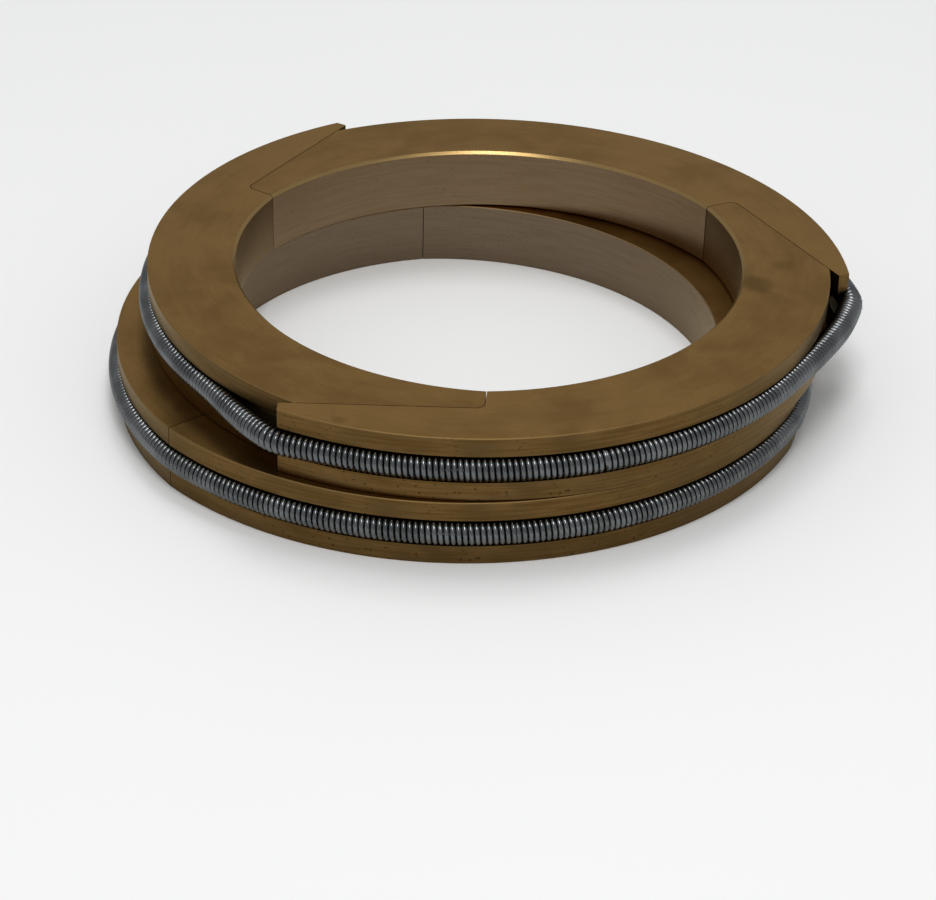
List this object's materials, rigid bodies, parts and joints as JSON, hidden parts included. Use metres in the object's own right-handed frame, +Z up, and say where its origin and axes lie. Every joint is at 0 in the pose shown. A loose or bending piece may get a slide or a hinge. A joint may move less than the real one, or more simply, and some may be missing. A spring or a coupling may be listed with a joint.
{
  "type": "rod packing ring set",
  "caption": "Segmented bronze rod packing ring set: a radial-cut ring under a tangent-cut ring, each drawn round the rod by a steel garter spring and keyed by a dowel pin.",
  "frame": {"origin": "centre of the radial ring at its lower face, the axis of the rod", "axes": "+Z up along the rod from the radial ring to the tangent ring; +X to the right and -Y towards the viewer in the picture"},
  "size_m": [0.1373, 0.1303, 0.024],
  "materials": {
    "bronze": "lapped faces, turned rims",
    "spring_steel": "drawn wire, dull grey",
    "pin_steel": "ground"
  },
  "bodies": {
    "radial_front": {"radial_segment_front": "bronze", "dowel_pin": "pin_steel", "radial_garter_spring": "spring_steel"},
    "radial_right": {"radial_segment_right": "bronze"},
    "radial_left": {"radial_segment_left": "bronze"},
    "tangent_front": {"tangent_segment_front": "bronze", "tangent_garter_spring": "spring_steel"},
    "tangent_rear": {"tangent_segment_rear": "bronze"},
    "tangent_left": {"tangent_segment_left": "bronze"}
  },
  "joints": [
    {"name": "radial_open_right", "type": "slide", "parent": "radial_front", "child": "radial_right", "axis": [0.342, 0.9397, 0], "range_m": [0, 0.0056], "stiffness_N_per_m": 2000, "springref_m": -0.002, "deforming": ["radial_garter_spring"]},
    {"name": "radial_open_left", "type": "slide", "parent": "radial_front", "child": "radial_left", "axis": [-0.6428, 0.766, 0], "range_m": [0, 0.0056], "stiffness_N_per_m": 2000, "springref_m": -0.002},
    {"name": "ring_swing", "type": "hinge", "parent": "radial_front", "child": "tangent_front", "pos_m": [0.02012, -0.05154, 0.012], "axis": [0, 0, 1], "range_deg": [-10, 14]},
    {"name": "tangent_open_rear", "type": "slide", "parent": "tangent_front", "child": "tangent_rear", "axis": [-0.5, 0.866, 0], "range_m": [0, 0.0069], "stiffness_N_per_m": 2000, "springref_m": -0.002, "deforming": ["tangent_garter_spring"]},
    {"name": "tangent_open_left", "type": "slide", "parent": "tangent_front", "child": "tangent_left", "axis": [-1, 0, 0], "range_m": [0, 0.0069], "stiffness_N_per_m": 2000, "springref_m": -0.002}
  ],
  "couplings": [
    {"joint": "radial_open_left", "follows": "radial_open_right", "ratio": 1},
    {"joint": "tangent_open_left", "follows": "tangent_open_rear", "ratio": 1}
  ]
}
